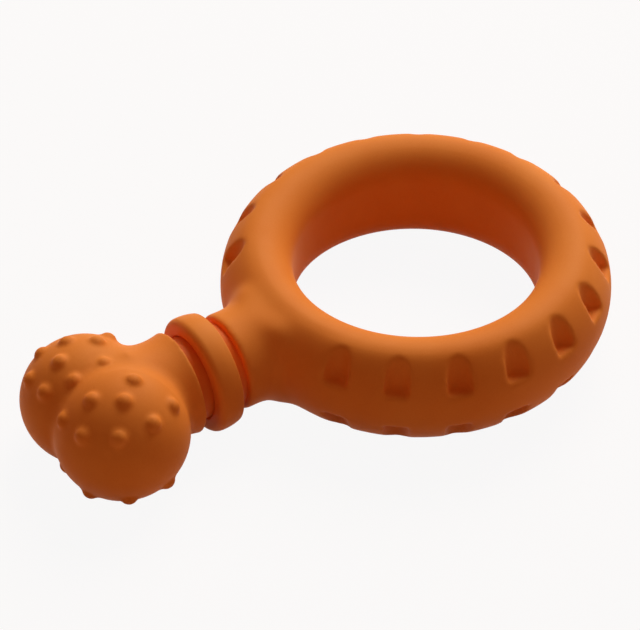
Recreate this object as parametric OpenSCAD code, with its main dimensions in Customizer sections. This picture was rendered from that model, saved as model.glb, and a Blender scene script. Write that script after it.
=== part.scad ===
// Rubber chew toy: a treaded ring and a knobbed bone end, joined by a peg that carries a loose collar.
// Z is the axis of the ring, the stem runs towards -X, and the origin is the centre of the ring's hole.

/* [Ring] */
// Outer diameter of the ring
ring_d = 95; // [80:0.5:110]
// Height of the ring from face to face
ring_h = 27; // [24:0.1:32]
// Width of the tread side, from the highest line of a face out to the rim
tread_w = 9.3; // [8.6:0.1:11]
// Width of the hole side, from that line in to the wall of the hole
hole_side_w = 8.4; // [6:0.1:11]
// Radius of the tread side next to the highest line
crown_r = 6; // [3:0.5:7.5]

/* [Tread] */
// Slots in each row
slot_count = 17; // [9:1:19]
// Angle between the stem and the first slot on either side of it
slot_first = 32.2; // [29:0.1:45]
// Width of a slot at its ledge
slot_w = 6; // [4:0.1:7]
// Height of a slot's ledge above the middle of the ring
slot_low = 4.7; // [3:0.1:7]
// Depth of a slot at its ledge
slot_depth = 3.6; // [3.2:0.1:4.4]
// Distance from the highest line out to a slot's shallow end
slot_start = 3; // [0.5:0.1:3.5]

/* [Neck] */
// Length of the neck, from the ring's rim to its end face
neck_l = 6.5; // [5:0.1:10]
// Radius of the neck
neck_r = 11.9; // [11:0.1:13]
// Radius of the hollow between the neck and the ring
neck_fillet_r = 4; // [2:0.5:6]
// Depth that the foot of that hollow runs into the ring
neck_foot = 0.5; // [0.3:0.1:1]
// Radius of the neck's upper and lower sides where it widens
neck_web_r = 20; // [16:1:40]
// Rise of those sides above the round neck
neck_web_rise = 0.4; // [0.2:0.1:1]

/* [Collar] */
// Gap between the neck and the collar
neck_gap = 3; // [1.5:0.1:5]
// Width of the collar
collar_w = 6.3; // [6.1:0.1:9]
// Radius of the collar at its edge towards the ring
collar_edge_r = 13.7; // [12.5:0.1:14]
// Greatest radius of the collar
collar_r = 14.3; // [14.1:0.1:16]
// Distance from the edge towards the ring to the greatest radius
collar_crown_at = 3.8; // [3:0.1:4]
// Rounding of the edge towards the bone end
collar_round_r = 1.8; // [0.5:0.1:2.4]
// Gap between the collar and the bone end
bone_gap = 3.2; // [1.5:0.1:5]

/* [Peg] */
// Radius of the journal that the collar turns on
journal_r = 10.2; // [7.2:0.1:10.4]
// Height of the bead that keeps the collar between its gaps
bead_h = 0.8; // [0.4:0.1:1.2]
// Width of the bead
bead_w = 2; // [1.2:0.1:3]
// Running clearance between the peg and the collar
running_gap = 0.08; // [0.03:0.01:0.1]
// Radius of the peg inside the rubber
peg_r = 5; // [4:0.1:5.5]
// Height of a barb
barb_h = 1.4; // [0.6:0.1:1.6]
// Distance from barb to barb
barb_pitch = 4; // [3:0.1:4.4]
// Barbs on each end of the peg
barb_count = 3; // [1:1:3]
// Plain length of the peg before its first barb
barb_start = 2.5; // [1:0.1:3]
// Clearance between the peg and its sockets
socket_gap = 0.05; // [0.02:0.01:0.1]

/* [Bone end] */
// Radius of the lip
lip_r = 12.7; // [12.4:0.1:13.4]
// Radius of the rounded edge of the lip
lip_round_r = 0.6; // [0.2:0.1:1]
// Radius of the waist
waist_r = 12.1; // [10:0.1:12.4]
// Distance from the lip to the waist
waist_at = 4.5; // [3:0.1:6]
// Distance from the lip to the middle of the bulbs
shank_l = 20.4; // [19:0.1:26]
// Distance between the middles of the two bulbs
bulb_spread = 14.8; // [10:0.2:18]
// Distance that the front bulb stands nearer to the ring than the back one
bulb_stagger = 1.5; // [0:0.1:4]
// Radius of the front bulb
front_bulb_r = 15.9; // [15.2:0.1:17]
// Radius of the back bulb
back_bulb_r = 15.3; // [15:0.1:17]
// Radius of the saddle between the bulbs
saddle_r = 13.8; // [12.9:0.1:14.6]
// Angle that the bone end is turned about the stem, which lifts the front bulb
bone_turn = 2.4; // [0:0.1:10]

/* [Nubs] */
// Diameter of a nub at its foot
nub_d = 4; // [2.5:0.1:5]
// Height of a nub
nub_h = 1.2; // [0.6:0.1:1.6]

/* [Hidden] */
$fn = 48;
// overrun of every cut
over = 1;

ring_r = ring_d / 2;
half_h = ring_h / 2;
crest_r = ring_r - tread_w;
hole_r = crest_r - hole_side_w;
land_h = ring_h - 2 * hole_side_w;

// the tread side is a half oval: crown arcs at the faces and one flank arc between them, all tangent
crown_z = half_h - crown_r;
flank_r = (pow(tread_w, 2) + pow(crown_z, 2) - pow(crown_r, 2)) / (2 * (tread_w - crown_r));
flank_x = ring_r - flank_r;
touch_z = crown_z * flank_r / (flank_r - crown_r);

// slots: round grooves whose floor line runs straight from the shallow end on the face down to the ledge
slot_pitch = (360 - 2 * slot_first) / (slot_count - 1);
start_r = crest_r + slot_start;
start_z = crown_z + sqrt(pow(crown_r, 2) - pow(slot_start, 2));
ledge_edge_r = flank_x + sqrt(pow(flank_r, 2) - pow(slot_low, 2));
ledge_r = ledge_edge_r - slot_depth;
floor_rise = start_z - slot_low;
floor_run = ledge_r - start_r;
floor_angle = atan(floor_run / floor_rise);
floor_l = sqrt(pow(floor_run, 2) + pow(floor_rise, 2));
groove_r = slot_w / 2;

// hollow of the neck: an arc tangent to the neck, whose foot lies just inside the ring's rim
foot_r = ring_r - neck_foot;
fillet_y = neck_r + neck_fillet_r;
fillet_x = sqrt(pow(foot_r + neck_fillet_r, 2) - pow(fillet_y, 2));
foot_share = foot_r / (foot_r + neck_fillet_r);
web_z = neck_r + neck_web_rise - neck_web_r;

// stations along the stem, measured from the ring's axis
neck_end = ring_r + neck_l;
collar_at = neck_end + neck_gap;
lip_at = collar_at + collar_w + bone_gap;
bulb_at = lip_at + shank_l;
journal_l = lip_at - neck_end;
bead_at = collar_at + collar_w / 2;
barb_l = barb_start + barb_pitch * barb_count;

// crown of the collar: one arc through its edge and its greatest radius
crown_drop = collar_r - collar_edge_r;
collar_arc_r = (pow(collar_crown_at, 2) + pow(crown_drop, 2)) / (2 * crown_drop);
collar_arc_x = collar_r - collar_arc_r;
round_at = collar_w - collar_round_r;
round_x = collar_arc_x + sqrt(pow(collar_arc_r - collar_round_r, 2) - pow(round_at - collar_crown_at, 2));
round_touch_share = collar_arc_r / (collar_arc_r - collar_round_r);
round_touch_at = collar_crown_at + (round_at - collar_crown_at) * round_touch_share;

// waist of the bone end: one arc through its lip and its narrowest place
waist_drop = lip_r - waist_r;
waist_arc_r = (pow(waist_at, 2) + pow(waist_drop, 2)) / (2 * waist_drop);

nub_r = (pow(nub_d / 2, 2) + pow(nub_h, 2)) / (2 * nub_h);

// nubs on the upper and lower half of each bulb
// first the angle away from the stem's outward direction, then the angle up or down from the bulb's outer side
front_top_nubs = [[39, 61], [34, 109], [67, 41], [63, 87], [85, 68], [103, 84], [99, 41], [127, 49]];
front_low_nubs = [[42, 66], [36, 122], [70, 38], [64, 90], [82, 72], [102, 88], [107, 36], [130, 62]];
back_top_nubs = [[40, 66], [42, 106], [66, 54], [69, 90], [70, 117], [87, 70], [102, 114], [110, 85], [131, 64]];
back_low_nubs = [[65, 57], [69, 86], [67, 115], [88, 69], [98, 109], [107, 83], [128, 63]];

rubber_colour = [0.80, 0.42, 0.17];
peg_colour = [0.70, 0.30, 0.09];

// turns a shape made along Z so that it runs along the stem, from the ring's axis outwards
module along_stem(at = 0) {
    rotate([0, -90, 0]) translate([0, 0, at]) children();
}

// wall of the hole: a straight land between two quarter rounds
module hole_side() {
    translate([hole_r, -land_h / 2]) square([hole_side_w, land_h]);
    intersection() {
        translate([0, -half_h]) square([crest_r, ring_h]);
        for (side = [-1, 1]) translate([crest_r, side * land_h / 2]) circle(hole_side_w);
    }
}

module tread_side() {
    intersection() {
        translate([crest_r - over, -half_h]) square([tread_w + over, ring_h]);
        for (side = [-1, 1]) translate([crest_r, side * crown_z]) circle(crown_r);
    }
    intersection() {
        translate([crest_r - over, -touch_z]) square([tread_w + over, 2 * touch_z]);
        translate([flank_x, 0]) circle(flank_r);
    }
}

// one slot of the upper row, in the direction of +X
module slot() {
    intersection() {
        translate([0, -slot_w, slot_low]) cube([ring_r + over, 2 * slot_w, ring_h]);
        translate([ledge_r, 0, slot_low]) rotate([0, -floor_angle, 0])
            translate([groove_r, 0, -2 * slot_w]) linear_extrude(floor_l + 4 * slot_w) {
                circle(groove_r);
                translate([0, -groove_r]) square([ring_r, slot_w]);
            }
    }
}

module neck() {
    intersection() {
        along_stem() rotate([0, 0, 90]) rotate_extrude() difference() {
            polygon([
                [0, crest_r],
                [fillet_y * foot_share, crest_r],
                [fillet_y * foot_share, fillet_x * foot_share],
                [fillet_y, fillet_x],
                [neck_r, fillet_x],
                [neck_r, neck_end],
                [0, neck_end]
            ]);
            translate([fillet_y, fillet_x]) circle(neck_fillet_r);
        }
        translate([0, 0, web_z]) along_stem() cylinder(r = neck_web_r, h = neck_end + over);
        translate([0, 0, -web_z]) along_stem() cylinder(r = neck_web_r, h = neck_end + over);
    }
}

// barbed end of the peg, from its shoulder into the rubber; gap widens it into the socket
module barbed_end(gap = 0) {
    in = peg_r + gap;
    out = peg_r + barb_h + gap;
    rotate_extrude() polygon([
        [0, 0],
        [in, 0],
        [in, barb_start],
        for (i = [0 : barb_count - 1]) each [
            [out, barb_start + i * barb_pitch],
            [in, barb_start + (i + 1) * barb_pitch]
        ],
        if (gap > 0) [in, barb_l + gap],
        [0, barb_l + gap]
    ]);
}

// journal between the neck and the bone end, with its bead; gap widens it into the collar's bore
module journal(gap = 0) {
    foot = bead_w / 2 + bead_h;
    middle = bead_at - neck_end;
    out = journal_r + bead_h + gap;
    in = journal_r + gap;
    rotate_extrude() polygon([
        [0, 0],
        [in, 0],
        [in, middle - foot - gap],
        [out, middle - bead_w / 2 - gap],
        [out, middle + bead_w / 2 + gap],
        [in, middle + foot + gap],
        [in, journal_l],
        [0, journal_l]
    ]);
}

module chew_ring() {
    color(rubber_colour) difference() {
        union() {
            rotate_extrude($fn = 120) {
                hole_side();
                tread_side();
            }
            neck();
        }
        for (i = [0 : slot_count - 1], side = [0, 1])
            rotate([0, 0, 180 + slot_first + i * slot_pitch]) mirror([0, 0, side]) slot();
        along_stem(neck_end) mirror([0, 0, 1]) barbed_end(socket_gap);
    }
}

module core_peg() {
    color(peg_colour) {
        along_stem(neck_end) journal();
        along_stem(neck_end) mirror([0, 0, 1]) barbed_end();
        along_stem(lip_at) barbed_end();
    }
}

module collar_section() {
    intersection() {
        translate([collar_arc_x, collar_crown_at]) circle(collar_arc_r);
        square([collar_r + over, round_touch_at]);
    }
    square([round_x, collar_w]);
    translate([round_x, round_at]) circle(collar_round_r);
}

module collar() {
    color(rubber_colour) difference() {
        along_stem(collar_at) rotate_extrude() collar_section();
        along_stem(neck_end) journal(running_gap);
    }
}

module shank() {
    rotate([0, 0, 90]) rotate_extrude() difference() {
        union() {
            translate([0, lip_round_r]) square([saddle_r, shank_l - lip_round_r]);
            square([lip_r - lip_round_r, shank_l]);
            translate([lip_r - lip_round_r, lip_round_r]) circle(lip_round_r);
        }
        translate([waist_r + waist_arc_r, waist_at]) circle(waist_arc_r);
    }
}

// side is +1 for the front bulb, towards -Y, and -1 for the back one
module bulb(side, bulb_r, top_nubs, low_nubs) {
    translate([side * bulb_stagger / 2 - bulb_at, -side * bulb_spread / 2, 0]) {
        rotate([90, 0, 0]) sphere(bulb_r);
        nubs(-side, side, bulb_r, top_nubs);
        nubs(side, side, bulb_r, low_nubs);
    }
}

// way is the sign of the turn about the stem, which lifts the nubs or lowers them
module nubs(way, side, bulb_r, places) {
    for (nub = places)
        rotate([way * nub[1], 0, 0]) rotate([0, 0, side * nub[0]])
            translate([nub_r - nub_h - bulb_r, 0, 0]) sphere(nub_r, $fn = 20);
}

module bone_head() {
    color(rubber_colour) difference() {
        union() {
            along_stem(lip_at) shank();
            rotate([-bone_turn, 0, 0]) {
                bulb(1, front_bulb_r, front_top_nubs, front_low_nubs);
                bulb(-1, back_bulb_r, back_top_nubs, back_low_nubs);
            }
        }
        along_stem(lip_at) barbed_end(socket_gap);
    }
}

chew_ring();
core_peg();
collar();
bone_head();
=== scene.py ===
import math
import time

import bpy
from mathutils import Euler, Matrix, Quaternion, Vector
from mathutils.kdtree import KDTree


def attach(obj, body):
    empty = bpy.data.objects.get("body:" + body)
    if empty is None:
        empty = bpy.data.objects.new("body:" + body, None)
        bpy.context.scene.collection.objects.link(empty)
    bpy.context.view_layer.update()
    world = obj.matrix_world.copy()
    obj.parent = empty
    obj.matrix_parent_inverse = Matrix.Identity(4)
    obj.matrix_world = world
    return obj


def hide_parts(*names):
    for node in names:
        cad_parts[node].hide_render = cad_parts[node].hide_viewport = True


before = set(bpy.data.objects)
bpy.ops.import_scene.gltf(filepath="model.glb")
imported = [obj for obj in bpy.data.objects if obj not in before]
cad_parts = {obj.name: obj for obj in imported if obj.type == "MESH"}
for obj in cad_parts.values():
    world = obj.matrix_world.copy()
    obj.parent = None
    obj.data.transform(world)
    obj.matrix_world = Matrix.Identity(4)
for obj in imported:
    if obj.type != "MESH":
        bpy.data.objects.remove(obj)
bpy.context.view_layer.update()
print("frame loaded")
started = time.time()

mm = 0.001
turn = 2 * math.pi
profileMerge = 0.001  # mm within which the points of a drawn profile are one
poleMerge = 0.01  # mm within which spun points are one, and a point counts as on an axis
smoothing = 0.5  # how far one pass of smoothing moves a point
softAngle = 40  # degrees up to which the shading runs smoothly over an edge


def tell(stage):
    print(stage, round(time.time() - started, 1), "s")


# working in edit mode

def deselectAll():
    bpy.ops.object.select_all(action="DESELECT")


def only(piece):
    deselectAll()
    piece.select_set(True)
    bpy.context.view_layer.objects.active = piece
    return piece


def editAll(piece):
    only(piece)
    bpy.ops.object.mode_set(mode="EDIT")
    bpy.ops.mesh.select_mode(type="VERT")
    bpy.ops.mesh.select_all(action="SELECT")


def editPoints(piece, wanted):
    only(piece)
    bpy.ops.object.mode_set(mode="EDIT")
    bpy.ops.mesh.select_mode(type="VERT")
    bpy.ops.mesh.select_all(action="DESELECT")
    bpy.ops.object.mode_set(mode="OBJECT")
    for point in piece.data.vertices:
        point.select = wanted(point.co)
    bpy.ops.object.mode_set(mode="EDIT")


def leaveEdit():
    bpy.ops.object.mode_set(mode="OBJECT")


def applyModifier(piece, kind, **settings):
    only(piece)
    modifier = piece.modifiers.new(kind.lower(), kind)
    for name, value in settings.items():
        setattr(modifier, name, value)
    bpy.ops.object.modifier_apply(modifier=modifier.name)


def cutWith(piece, tool):
    applyModifier(piece, "BOOLEAN", object=tool, operation="DIFFERENCE", solver="EXACT")
    bpy.data.objects.remove(tool)


def joinAll(pieces):
    deselectAll()
    for piece in pieces:
        piece.select_set(True)
    bpy.context.view_layer.objects.active = pieces[0]
    bpy.ops.object.join()
    return pieces[0]


def bakePlace(piece):
    only(piece)
    bpy.ops.object.transform_apply(location=True, rotation=True, scale=True)
    return piece


def copyOf(piece):
    another = piece.copy()
    another.data = piece.data.copy()
    bpy.context.scene.collection.objects.link(another)
    return another


def shadeSoftly(piece):
    only(piece)
    bpy.ops.object.shade_smooth_by_angle(angle=math.radians(softAngle))
    return piece


# profiles drawn as a chain of lines and arcs in the XZ plane

def startProfile(name, x, z):
    deselectAll()
    bpy.ops.mesh.primitive_plane_add(size=mm, location=(x * mm, 0, z * mm))
    profile = bakePlace(bpy.context.object)
    profile.name = name
    bpy.ops.object.mode_set(mode="EDIT")
    bpy.ops.mesh.select_all(action="SELECT")
    bpy.ops.mesh.merge(type="CENTER")
    return profile


def lineBy(dx, dz):
    bpy.ops.mesh.extrude_vertices_move(TRANSFORM_OT_translate={"value": (dx * mm, 0, dz * mm)})


# a positive angle turns from up towards +X
def arcRound(x, z, degrees, steps):
    bpy.ops.mesh.spin(steps=steps, angle=math.radians(-degrees), center=(x * mm, 0, z * mm), axis=(0, 1, 0))


def spinProfile(profile, axis, steps):
    bpy.ops.mesh.select_all(action="SELECT")
    bpy.ops.mesh.remove_doubles(threshold=profileMerge * mm)
    bpy.ops.mesh.select_all(action="SELECT")
    bpy.ops.mesh.spin(steps=steps, angle=turn, center=(0, 0, 0), axis=axis)
    bpy.ops.mesh.select_all(action="SELECT")
    bpy.ops.mesh.remove_doubles(threshold=poleMerge * mm)
    bpy.ops.mesh.normals_make_consistent(inside=False)
    leaveEdit()
    return profile


# moulded rubber: one skin over everything joined so far, with its edges worn soft
def mould(piece, voxel, softness):
    applyModifier(piece, "REMESH", mode="VOXEL", voxel_size=voxel * mm)
    if softness:
        applyModifier(piece, "SMOOTH", factor=smoothing, iterations=softness)
    tell(f"{piece.name} moulded, {len(piece.data.polygons)} faces")


def soften(piece, wanted, times):
    editPoints(piece, wanted)
    bpy.ops.mesh.vertices_smooth(factor=smoothing, repeat=times)
    leaveEdit()


# the peg's barbed end, whose socket is cut in the ring and in the bone end

barbs = {
    "pegRadius": 5,
    "height": 1.4,
    "pitch": 4,
    "count": 3,
    "start": 2.5,
    "clearance": 0.05,
    "beyondMouth": 1,  # how far the cutting tool stands out of the mouth
    "turnSteps": 72,
}


# way is -1 for a socket that runs outwards along the stem and 1 for one that runs in towards the ring
def socketTool(mouth, way):
    wall = barbs["pegRadius"] + barbs["clearance"]
    tool = startProfile("socketTool", -mouth - way * barbs["beyondMouth"], 0)
    lineBy(0, wall)
    lineBy(way * (barbs["beyondMouth"] + barbs["start"]), 0)
    for barb in range(barbs["count"]):
        lineBy(0, barbs["height"])
        lineBy(way * barbs["pitch"], -barbs["height"])
    lineBy(way * barbs["clearance"], 0)
    lineBy(0, -wall)
    return spinProfile(tool, (1, 0, 0), barbs["turnSteps"])


# the chew ring

ring = {
    "rim": 47.5,
    "halfHeight": 13.5,
    "treadWidth": 9.3,
    "holeSideWidth": 8.4,
    "crownRadius": 6,
    "crownSteps": 10,
    "flankSteps": 36,
    "shoulderSteps": 20,
    "turnSteps": 360,
    "voxel": 0.54,
    "softness": 9,
}
slots = {
    "perRow": 17,
    "firstFromStem": 32.2,
    "ledgeHeight": 4.7,
    "width": 6,
    "depth": 3.6,
    "startBeyondCrest": 3,
    "stretch": 10,  # how far a groove's cutting bar is widened outwards
    "barLength": 40,
    "barSides": 64,
}
neck = {
    "radius": 11.9,
    "length": 6.5,
    "hollowRadius": 4,
    "foot": 0.5,  # how far the hollow's foot runs into the ring
    "edgeRadius": 0.35,
    "webRise": 0.4,  # the widening neck's flat sides stand this far above its round part
    "hollowSteps": 12,
    "edgeSteps": 5,
    "turnSteps": 96,
    "blendRise": 4,  # the blend grows from the ring's crest over this distance
    "blendSide": (21, 16),  # distances from the stem at which the blend is nothing and full
    "blendEnd": (1.5, 4),  # distances from the neck's end face at which it is nothing and full
    "blendTimes": 110,
}

neckEnd = ring["rim"] + neck["length"]
crest = ring["rim"] - ring["treadWidth"]
crownUp = ring["halfHeight"] - ring["crownRadius"]
# the tread's flank, a larger arc that meets the crown's arc and the rim
flank = ring["treadWidth"] ** 2 + crownUp ** 2 - ring["crownRadius"] ** 2
flank /= 2 * (ring["treadWidth"] - ring["crownRadius"])
flankX = ring["rim"] - flank


def ringBlank():
    crownTurn = 90 - math.degrees(math.atan2(crownUp, crest - flankX))
    landHalf = ring["halfHeight"] - ring["holeSideWidth"]
    blank = startProfile("chewRing", crest, ring["halfHeight"])
    arcRound(crest, crownUp, crownTurn, ring["crownSteps"])
    arcRound(flankX, 0, 180 - 2 * crownTurn, ring["flankSteps"])
    arcRound(crest, -crownUp, crownTurn, ring["crownSteps"])
    arcRound(crest, -landHalf, 90, ring["shoulderSteps"])
    lineBy(0, 2 * landHalf)
    arcRound(crest, landHalf, 90, ring["shoulderSteps"])
    return spinProfile(blank, (0, 0, 1), ring["turnSteps"])


# a groove's cutting bar: round and slanting, widened outwards and cut off flat at the ledge
def slotTool():
    low, depth = slots["ledgeHeight"], slots["depth"]
    topX = crest + slots["startBeyondCrest"]
    topZ = crownUp + math.sqrt(ring["crownRadius"] ** 2 - slots["startBeyondCrest"] ** 2)
    ledgeX = flankX + math.sqrt(flank ** 2 - low ** 2) - depth
    lean = math.atan2(ledgeX - topX, topZ - low)
    radius = slots["width"] / 2
    middleX = (ledgeX + topX) / 2 + radius * math.cos(lean)
    middleZ = (low + topZ) / 2 + radius * math.sin(lean)
    deselectAll()
    bpy.ops.mesh.primitive_cylinder_add(vertices=slots["barSides"], radius=radius * mm,
                                        depth=slots["barLength"] * mm)
    bar = bpy.context.object
    editPoints(bar, lambda p: p.x > poleMerge * mm)
    bpy.ops.transform.translate(value=(slots["stretch"] * mm, 0, 0))
    leaveEdit()
    bar.location = (middleX * mm, 0, middleZ * mm)
    bar.rotation_euler = (0, -lean, 0)
    bakePlace(bar)
    editAll(bar)
    bpy.ops.mesh.bisect(plane_co=(0, 0, low * mm), plane_no=(0, 0, 1), use_fill=True, clear_inner=True)
    leaveEdit()
    return bar


# the bars of both rows, of which the lower row is the upper one mirrored
def slotTools():
    bar = slotTool()
    first = math.radians(slots["firstFromStem"])
    pitch = (turn - 2 * first) / (slots["perRow"] - 1)
    made = []
    for row in (1, -1):
        for number in range(slots["perRow"]):
            another = copyOf(bar)
            another.rotation_euler = (0, 0, math.pi + first + number * pitch)
            another.scale = (1, 1, row)
            made.append(bakePlace(another))
    bpy.data.objects.remove(bar)
    tools = joinAll(made)
    editAll(tools)
    bpy.ops.mesh.normals_make_consistent(inside=False)
    leaveEdit()
    return tools


def neckStub():
    radius, hollow, edge = neck["radius"], neck["hollowRadius"], neck["edgeRadius"]
    foot = ring["rim"] - neck["foot"]
    hollowY = radius + hollow
    hollowX = math.sqrt((foot + hollow) ** 2 - hollowY ** 2)
    lean = math.atan2(hollowY, hollowX)
    startX = hollowX - hollow * math.cos(lean)
    startY = hollowY - hollow * math.sin(lean)
    stub = startProfile("neck", -crest, 0)
    lineBy(0, startY)
    lineBy(crest - startX, 0)
    arcRound(-hollowX, hollowY, 90 - math.degrees(lean), neck["hollowSteps"])
    lineBy(hollowX - neckEnd + edge, 0)
    arcRound(edge - neckEnd, radius - edge, -90, neck["edgeSteps"])
    lineBy(0, edge - radius)
    stub = spinProfile(stub, (1, 0, 0), neck["turnSteps"])
    webHeight = radius + neck["webRise"]
    for side in (1, -1):
        editAll(stub)
        bpy.ops.mesh.bisect(plane_co=(0, 0, side * webHeight * mm), plane_no=(0, 0, side), use_fill=True,
                            clear_outer=True)
        leaveEdit()
    return stub


# the neck runs into the ring in a soft saddle, strongest where the two meet and fading out around it
def blendNeck(piece):
    def fade(value, none, full):
        return min(1, max(0, (value - none) / (full - none)))

    group = piece.vertex_groups.new(name="blend")
    for point in piece.data.vertices:
        x, y, z = point.co / mm
        share = fade(math.hypot(x, y), crest, crest + neck["blendRise"])
        share *= fade(abs(y), *neck["blendSide"]) * fade(neckEnd + x, *neck["blendEnd"])
        if x < 0 and share > 0:
            group.add([point.index], share, "REPLACE")
    applyModifier(piece, "SMOOTH", factor=smoothing, iterations=neck["blendTimes"], vertex_group=group.name)
    piece.vertex_groups.clear()


def makeChewRing():
    piece = ringBlank()
    cutWith(piece, slotTools())
    tell("slots cut")
    piece = joinAll([piece, neckStub()])
    mould(piece, ring["voxel"], ring["softness"])
    blendNeck(piece)
    cutWith(piece, socketTool(neckEnd, 1))
    return shadeSoftly(piece)


# the collar

collar = {
    "gapToNeck": 3,
    "width": 6.3,
    "edgeRadius": 13.7,
    "crownRadius": 14.3,
    "crownAt": 3.8,
    "round": 1.8,
    "sharpEdge": 0.45,
    "journal": 10.2,
    "bead": 0.8,
    "beadWidth": 2,
    "running": 0.08,
    "boreChamfer": 0.4,
    "crownSteps": 24,
    "roundSteps": 10,
    "turnSteps": 180,
    "bevelSegments": 3,
    "bevelAbove": 50,  # degrees past which an edge is worn round
}
collarStart = neckEnd + collar["gapToNeck"]


def makeCollar():
    c = collar
    drop = c["crownRadius"] - c["edgeRadius"]
    arc = (c["crownAt"] ** 2 + drop ** 2) / (2 * drop)
    arcMiddle = c["crownRadius"] - arc
    roundAt = c["width"] - c["round"]
    roundR = arcMiddle + math.sqrt((arc - c["round"]) ** 2 - (roundAt - c["crownAt"]) ** 2)
    touch = math.degrees(math.asin((roundAt - c["crownAt"]) / (arc - c["round"])))
    before = math.degrees(math.asin(c["crownAt"] / arc))
    bore = c["journal"] + c["running"]
    groove = c["beadWidth"] / 2 + c["running"]
    chamfer = c["boreChamfer"]
    plain = c["width"] / 2 - groove - c["bead"] - chamfer
    piece = startProfile("collarRing", -collarStart, bore + chamfer)
    lineBy(0, c["edgeRadius"] - bore - chamfer)
    arcRound(-collarStart - c["crownAt"], arcMiddle, -(before + touch), c["crownSteps"])
    arcRound(-collarStart - roundAt, roundR, -(90 - touch), c["roundSteps"])
    lineBy(0, bore + chamfer - roundR)
    lineBy(chamfer, -chamfer)
    lineBy(plain, 0)
    lineBy(c["bead"], c["bead"])
    lineBy(2 * groove, 0)
    lineBy(c["bead"], -c["bead"])
    lineBy(plain, 0)
    lineBy(chamfer, chamfer)
    piece = spinProfile(piece, (1, 0, 0), c["turnSteps"])
    applyModifier(piece, "BEVEL", width=c["sharpEdge"] * mm, segments=c["bevelSegments"],
                  limit_method="ANGLE", angle_limit=math.radians(c["bevelAbove"]))
    return shadeSoftly(piece)


# the bone end

bone = {
    "gapToCollar": 3.2,
    "lipRadius": 12.7,
    "waistRadius": 12.1,
    "waistAt": 4.5,
    "shankLength": 20.4,
    "spread": 14.8,
    "stagger": 1.5,
    "nearBulbRadius": 15.9,
    "farBulbRadius": 15.3,
    "saddleRadius": 13.8,
    "turned": 2.4,
    "seamWidth": 1.8,
    "seamTimes": 80,
    "waistSteps": 40,
    "turnSteps": 120,
    "bulbFineness": 6,
    "voxel": 0.37,
    "softness": 5,
}
# a nub's place is two angles: away from the stem's line, and round that line from the bulb's outer side
nubs = {
    "width": 4,
    "height": 1.2,
    "fineness": 4,
    "footFrom": 1.8,
    "footTo": 3.3,
    "footTimes": 12,
    "nearTop": [(39, 61), (34, 109), (67, 41), (63, 87), (85, 68), (103, 84), (99, 41), (127, 49)],
    "nearLow": [(42, 66), (36, 122), (70, 38), (64, 90), (82, 72), (102, 88), (107, 36), (130, 62)],
    "farTop": [(40, 66), (42, 106), (66, 54), (69, 90), (70, 117), (87, 70), (102, 114), (110, 85),
               (131, 64)],
    "farLow": [(65, 57), (69, 86), (67, 115), (88, 69), (98, 109), (107, 83), (128, 63)],
}
lip = collarStart + collar["width"] + bone["gapToCollar"]
bulbsAt = lip + bone["shankLength"]


def shank():
    b = bone
    drop = b["lipRadius"] - b["waistRadius"]
    arc = (b["waistAt"] ** 2 + drop ** 2) / (2 * drop)
    middle = b["waistRadius"] + arc
    inTurn = math.degrees(math.asin(b["waistAt"] / arc))
    outTurn = math.degrees(math.acos((middle - b["saddleRadius"]) / arc))
    piece = startProfile("shank", -lip, 0)
    lineBy(0, b["lipRadius"])
    arcRound(-lip - b["waistAt"], middle, inTurn + outTurn, b["waistSteps"])
    reach = b["waistAt"] + arc * math.sin(math.radians(outTurn))
    lineBy(reach - b["shankLength"], 0)
    lineBy(0, -b["saddleRadius"])
    return spinProfile(piece, (1, 0, 0), b["turnSteps"])


# side is 1 for the bulb towards -Y, which is the near one, and -1 for the other
def bulbMiddle(side):
    return Vector((side * bone["stagger"] / 2 - bulbsAt, -side * bone["spread"] / 2, 0)) * mm


def bulb(side, radius):
    deselectAll()
    bpy.ops.mesh.primitive_ico_sphere_add(subdivisions=bone["bulbFineness"], radius=radius * mm,
                                          location=bulbMiddle(side))
    return turned(bakePlace(bpy.context.object))


# the ways from a bulb's middle to its nubs
def nubWays(side, topPlaces, lowPlaces):
    ways = []
    for half, places in ((1, topPlaces), (-1, lowPlaces)):
        for away, up in places:
            along, across = math.cos(math.radians(away)), math.sin(math.radians(away))
            sideways, upwards = math.cos(math.radians(up)), math.sin(math.radians(up))
            ways.append(Vector((-along, -side * across * sideways, half * across * upwards)))
    return ways


def bulbNubs(side, radius, ways):
    nubRadius = ((nubs["width"] / 2) ** 2 + nubs["height"] ** 2) / (2 * nubs["height"])
    out = radius + nubs["height"] - nubRadius
    deselectAll()
    bpy.ops.mesh.primitive_ico_sphere_add(subdivisions=nubs["fineness"], radius=nubRadius * mm)
    nub = bpy.context.object
    made = []
    for way in ways:
        another = copyOf(nub)
        another.location = bulbMiddle(side) + way * out * mm
        made.append(bakePlace(another))
    bpy.data.objects.remove(nub)
    return turned(joinAll(made))


# each nub flows into its bulb over a soft foot
def softenFeet(piece, places):
    middles = KDTree(len(places))
    for number, place in enumerate(places):
        middles.insert(place, number)
    middles.balance()
    inner, outer = nubs["footFrom"] * mm, nubs["footTo"] * mm
    soften(piece, lambda p: inner < middles.find(p)[2] < outer, nubs["footTimes"])


def turned(piece):
    piece.rotation_euler = (math.radians(-bone["turned"]), 0, 0)
    return bakePlace(piece)


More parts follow.
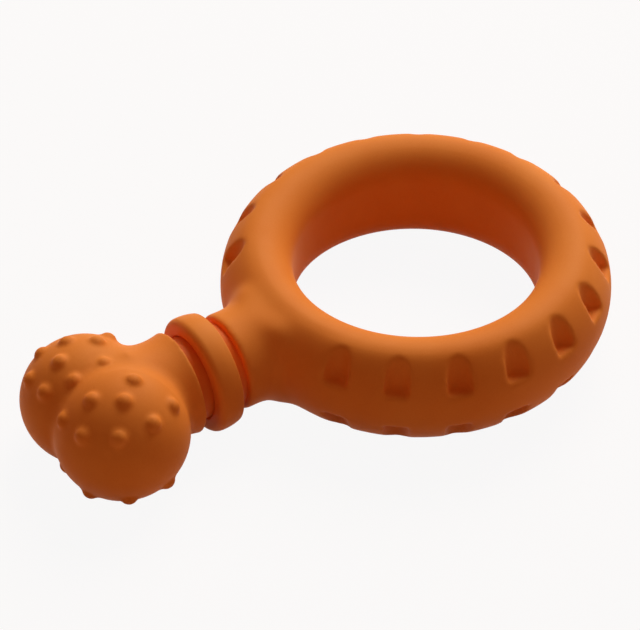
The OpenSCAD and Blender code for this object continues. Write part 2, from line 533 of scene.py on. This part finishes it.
def makeBoneEnd():
    near, far = bone["nearBulbRadius"], bone["farBulbRadius"]
    piece = joinAll([shank(), bulb(1, near), bulb(-1, far)])
    piece.name = "boneEnd"
    mould(piece, bone["voxel"], 0)
    lift = Euler((math.radians(-bone["turned"]), 0, 0)).to_matrix()
    middles = lift @ bulbMiddle(1), lift @ bulbMiddle(-1)
    reach = bone["seamWidth"] * mm

    # near a seam is near the surfaces of two of the three forms
    def nearSeam(p):
        beforeBulbs = p.x > -bulbsAt * mm
        close = abs((p - middles[0]).length - near * mm) < reach
        close += abs((p - middles[1]).length - far * mm) < reach
        close += abs(math.hypot(p.y, p.z) - bone["saddleRadius"] * mm) < reach and beforeBulbs
        return close > 1

    soften(piece, nearSeam, bone["seamTimes"])
    nearWays = nubWays(1, nubs["nearTop"], nubs["nearLow"])
    farWays = nubWays(-1, nubs["farTop"], nubs["farLow"])
    piece = joinAll([piece, bulbNubs(1, near, nearWays), bulbNubs(-1, far, farWays)])
    mould(piece, bone["voxel"], bone["softness"])
    places = [lift @ (bulbMiddle(1) + way * near * mm) for way in nearWays]
    places += [lift @ (bulbMiddle(-1) + way * far * mm) for way in farWays]
    softenFeet(piece, places)
    cutWith(piece, socketTool(lip, -1))
    return shadeSoftly(piece)


# shader sockets that work in sums, and one way to add any node

class Wire:
    def __init__(self, board, socket):
        self.board = board
        self.socket = socket

    def maths(self, operation, first, second):
        return self.board.add("ShaderNodeMath", {"operation": operation}, {0: first, 1: second})

    def __add__(self, other):
        return self.maths("ADD", self, other)

    def __mul__(self, other):
        return self.maths("MULTIPLY", self, other)

    __radd__ = __add__
    __rmul__ = __mul__


class Board:
    def __init__(self, owner):
        owner.use_nodes = True
        self.owner = owner
        self.tree = owner.node_tree
        self.tree.nodes.clear()

    def add(self, kind, settings=None, sockets=None, output=0):
        node = self.tree.nodes.new(kind)
        for name, value in (settings or {}).items():
            if name == "stops":
                while len(node.color_ramp.elements) > 1:
                    node.color_ramp.elements.remove(node.color_ramp.elements[-1])
                for number, (place, colour) in enumerate(value):
                    elements = node.color_ramp.elements
                    stop = elements[0] if number == 0 else elements.new(place)
                    stop.position = place
                    stop.color = (*colour, 1)
            else:
                setattr(node, name, value)
        for name, value in (sockets or {}).items():
            if isinstance(value, Wire):
                self.tree.links.new(value.socket, node.inputs[name])
            else:
                node.inputs[name].default_value = value
        return Wire(self, node.outputs[output]) if len(node.outputs) else None

    def finishWith(self, surface, output="ShaderNodeOutputMaterial"):
        self.add(output, None, {"Surface": surface})
        return self.owner


def linear(red, green, blue):
    return tuple(v / 12.92 if v <= 0.04045 else ((v + 0.055) / 1.055) ** 2.4 for v in (red, green, blue))


rubber = {
    "main": (0.955, 0.555, 0.215),
    "deep": (0.935, 0.525, 0.190),
    "pale": (0.970, 0.585, 0.240),
    "sheen": (1.0, 0.75, 0.4),
    "shine": 0.15,
    "roughness": 0.6,
    "grain": 2600,
    "ripple": 260,
    "mottle": 45,
    "mottleShare": 0.7,  # of the colour's pattern, where the rest is grain
    "rippleShare": 0.4,  # of the height, where the rest is grain
    "patternEnds": (0.3, 0.72),  # where the pattern is all deep and all pale
    "unevenness": 0.1,  # how far the roughness varies
    "grainHeight": 0.035,
    "grainStrength": 0.35,
}
pegNylon = dict(rubber)
pegNylon.update({
    "main": (0.93, 0.47, 0.15),
    "deep": (0.91, 0.45, 0.13),
    "pale": (0.945, 0.49, 0.17),
    "shine": 0.25,
    "roughness": 0.45,
})


def noise(board, place, scale, detail):
    return board.add("ShaderNodeTexNoise", None, {"Vector": place, "Scale": scale, "Detail": detail})


def skin(name, look):
    board = Board(bpy.data.materials.new(name))
    place = board.add("ShaderNodeTexCoord", None, None, "Object")
    mottle = noise(board, place, look["mottle"], 3.0)
    ripple = noise(board, place, look["ripple"], 2.0)
    grain = noise(board, place, look["grain"], 3.0)
    allDeep, allPale = look["patternEnds"]
    colour = board.add("ShaderNodeValToRGB", {"stops": [
        (allDeep, linear(*look["deep"])),
        (0.5, linear(*look["main"])),
        (allPale, linear(*look["pale"])),
    ]}, {"Fac": mottle * look["mottleShare"] + grain * (1 - look["mottleShare"])})
    height = ripple * look["rippleShare"] + grain * (1 - look["rippleShare"])
    normal = board.add("ShaderNodeBump", None, {
        "Height": height,
        "Strength": look["grainStrength"],
        "Distance": look["grainHeight"] * mm,
    })
    surface = board.add("ShaderNodeBsdfPrincipled", None, {
        "Base Color": colour,
        "Roughness": ripple * look["unevenness"] + (look["roughness"] - look["unevenness"] / 2),
        "Normal": normal,
        "Specular IOR Level": look["shine"],
        "Specular Tint": (*look["sheen"], 1),
    })
    return board.finishWith(surface)


def wear(piece, material):
    piece.data.materials.clear()
    piece.data.materials.append(material)


chewRing = makeChewRing()
tell("ring made")
collarRing = makeCollar()
tell("collar made")
boneEnd = makeBoneEnd()
tell("bone end made")

orangeRubber = skin("orange moulded rubber", rubber)
for piece, body, node in ((chewRing, "toy", "chew_ring"), (boneEnd, "toy", "bone_head"),
                          (collarRing, "loose_collar", "collar")):
    wear(piece, orangeRubber)
    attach(piece, body)
    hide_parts(node)
    triangles = sum(len(face.vertices) - 2 for face in piece.data.polygons)
    print(piece.name, [round(size / mm, 2) for size in piece.dimensions], triangles, "triangles")
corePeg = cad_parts["core_peg"]
wear(corePeg, skin("dyed peg nylon", pegNylon))
tell("pieces finished")


# camera, floor and light

view = {
    "azimuth": -34.565,
    "elevation": 41.5,
    "distance": 700,
    "target": (-22.36, 8.24, -6.66),
    "roll": -0.559,
    "lens": 161.66,
    "sensor": 36,
    "clip": (0.05, 20),
}


def towards(azimuth, elevation):
    a, e = math.radians(azimuth), math.radians(elevation)
    return Vector((math.sin(a) * math.cos(e), -math.cos(a) * math.cos(e), math.sin(e)))


def makeCamera():
    data = bpy.data.cameras.new("camera")
    data.lens = view["lens"]
    data.sensor_width = view["sensor"]
    data.sensor_fit = "HORIZONTAL"
    data.clip_start, data.clip_end = view["clip"]
    camera = bpy.data.objects.new("camera", data)
    bpy.context.scene.collection.objects.link(camera)
    camera.location = towards(view["azimuth"], view["elevation"]) * view["distance"] * mm
    look = (Vector(view["target"]) * mm - camera.location).to_track_quat("-Z", "Y")
    camera.rotation_euler = (look @ Quaternion((0, 0, 1), math.radians(view["roll"]))).to_euler()
    bpy.context.scene.camera = camera


# the floor is tilted because the toy rests on its ring's rim and on the nubs of its bone end
studio = {
    "aim": (-26, 2, 0),
    "floorRadius": 3,
    "floorSides": 128,
    "floorDrop": 0.75,  # below the ring's lowest face, under the middle of its hole
    "floorTilt": 1.15,
    "floorColour": (0.88, 0.76, 0.68),
    "whiteShare": 0.92,
    "key": 12.2,
    "keySize": 0.9,
    "keyFrom": (127, 42),
    "keyDistance": 1.2,
    "fill": 0.18,
    "fillColour": (1.0, 0.46, 0.28),
}


# 1 where the floor or the sky is looked at, straight or in a reflection, and 0 where it only sends light
def lookedAt(board):
    straight = board.add("ShaderNodeLightPath", None, None, "Is Camera Ray")
    mirrored = board.add("ShaderNodeLightPath", None, None, "Is Glossy Ray")
    through = board.add("ShaderNodeLightPath", None, None, "Is Transmission Ray")
    return straight + mirrored + through


def makeFloor():
    deselectAll()
    bpy.ops.mesh.primitive_circle_add(vertices=studio["floorSides"], radius=studio["floorRadius"],
                                      fill_type="NGON", location=(0, 0, 0))
    floor = bpy.context.object
    floor.name = "floor"
    floor.rotation_euler = (0, math.radians(studio["floorTilt"]), 0)
    floor.location = (0, 0, -(ring["halfHeight"] + studio["floorDrop"]) * mm)
    board = Board(bpy.data.materials.new("pale floor"))
    pale = board.add("ShaderNodeBsdfDiffuse", None, {"Color": (*linear(*studio["floorColour"]), 1)})
    white = board.add("ShaderNodeEmission", None, {"Color": (1, 1, 1, 1), "Strength": 1.0})
    wear(floor, board.finishWith(board.add("ShaderNodeMixShader", None, {
        0: lookedAt(board) * studio["whiteShare"], 1: pale, 2: white})))


def makeLight():
    data = bpy.data.lights.new("soft box", "AREA")
    data.shape = "DISK"
    data.size = studio["keySize"]
    data.energy = studio["key"]
    lamp = bpy.data.objects.new("soft box", data)
    bpy.context.scene.collection.objects.link(lamp)
    way = towards(*studio["keyFrom"])
    lamp.location = Vector(studio["aim"]) * mm + way * studio["keyDistance"]
    lamp.rotation_euler = (-way).to_track_quat("-Z", "Y").to_euler()
    board = Board(bpy.data.worlds.new("studio"))
    soft = board.add("ShaderNodeBackground", None, {"Color": (*studio["fillColour"], 1),
                                                    "Strength": studio["fill"]})
    white = board.add("ShaderNodeBackground", None, {"Color": (1, 1, 1, 1), "Strength": 1.0})
    sky = board.add("ShaderNodeMixShader", None, {0: lookedAt(board), 1: soft, 2: white})
    bpy.context.scene.world = board.finishWith(sky, "ShaderNodeOutputWorld")


makeCamera()
makeFloor()
makeLight()
bpy.context.scene.view_settings.view_transform = "Standard"

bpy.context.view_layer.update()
tell("all made")
